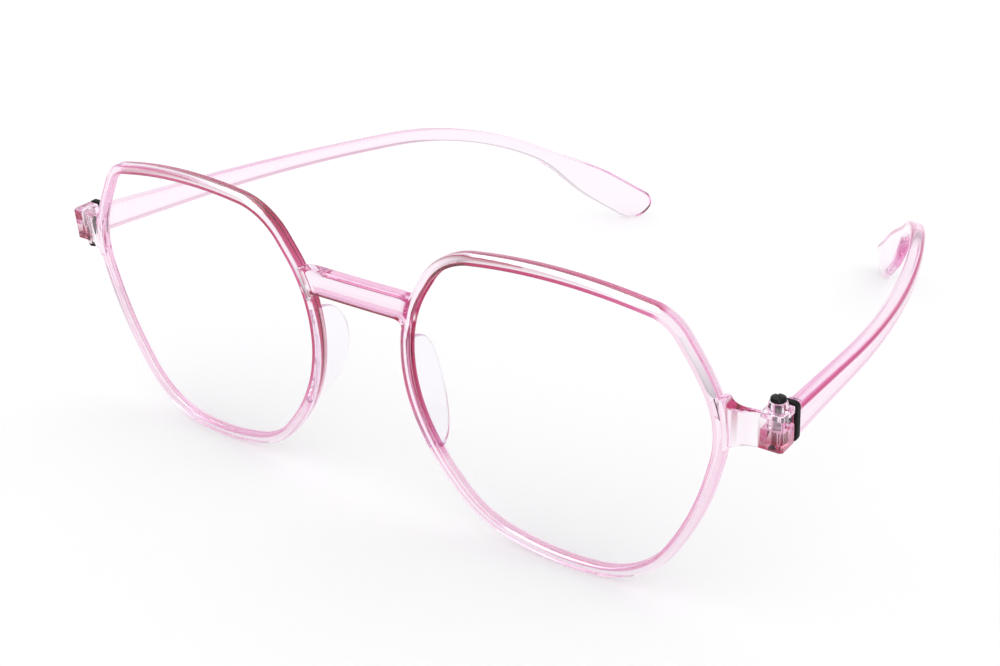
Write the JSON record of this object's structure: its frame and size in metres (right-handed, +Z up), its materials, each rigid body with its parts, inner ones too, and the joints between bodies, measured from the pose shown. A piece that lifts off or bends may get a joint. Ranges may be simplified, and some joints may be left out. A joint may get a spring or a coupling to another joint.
{
  "type": "blue light glasses",
  "caption": "Clear pink plastic glasses with rounded hexagonal rims, plain lenses, fin nose pads and temples that fold on screw hinges.",
  "frame": {"origin": "centre of the bounding box's bottom, on the surface that the rims and temple tips stand on", "axes": "+Z up, -Y the way the wearer looks, +X the wearer's left"},
  "size_m": [0.1444, 0.1382, 0.0507],
  "materials": {
    "frame_plastic": "clear pink, polished",
    "temple_plastic": "clear pink, polished",
    "lens": "clear, coated",
    "nose_pad": "clear, satin",
    "screw": "black, glossy",
    "ring_rubber": "black, matt"
  },
  "bodies": {
    "front": {"front_frame": "frame_plastic", "lens_left": "lens", "lens_right": "lens", "nose_pad_left": "nose_pad", "nose_pad_right": "nose_pad", "hinge_screw_left": "screw", "hinge_screw_right": "screw"},
    "left_temple": {"temple_left": "temple_plastic", "bumper_ring_left": "ring_rubber"},
    "right_temple": {"temple_right": "temple_plastic", "bumper_ring_right": "ring_rubber"}
  },
  "joints": [
    {"name": "left_temple_fold", "type": "hinge", "parent": "front", "child": "left_temple", "pos_m": [0.07023, -0.06185, 0.03304], "axis": [0, -0.0554, 0.9985], "range_deg": [0, 74]},
    {"name": "right_temple_fold", "type": "hinge", "parent": "front", "child": "right_temple", "pos_m": [-0.07023, -0.06185, 0.03304], "axis": [0, 0.0554, -0.9985], "range_deg": [0, 71]}
  ]
}
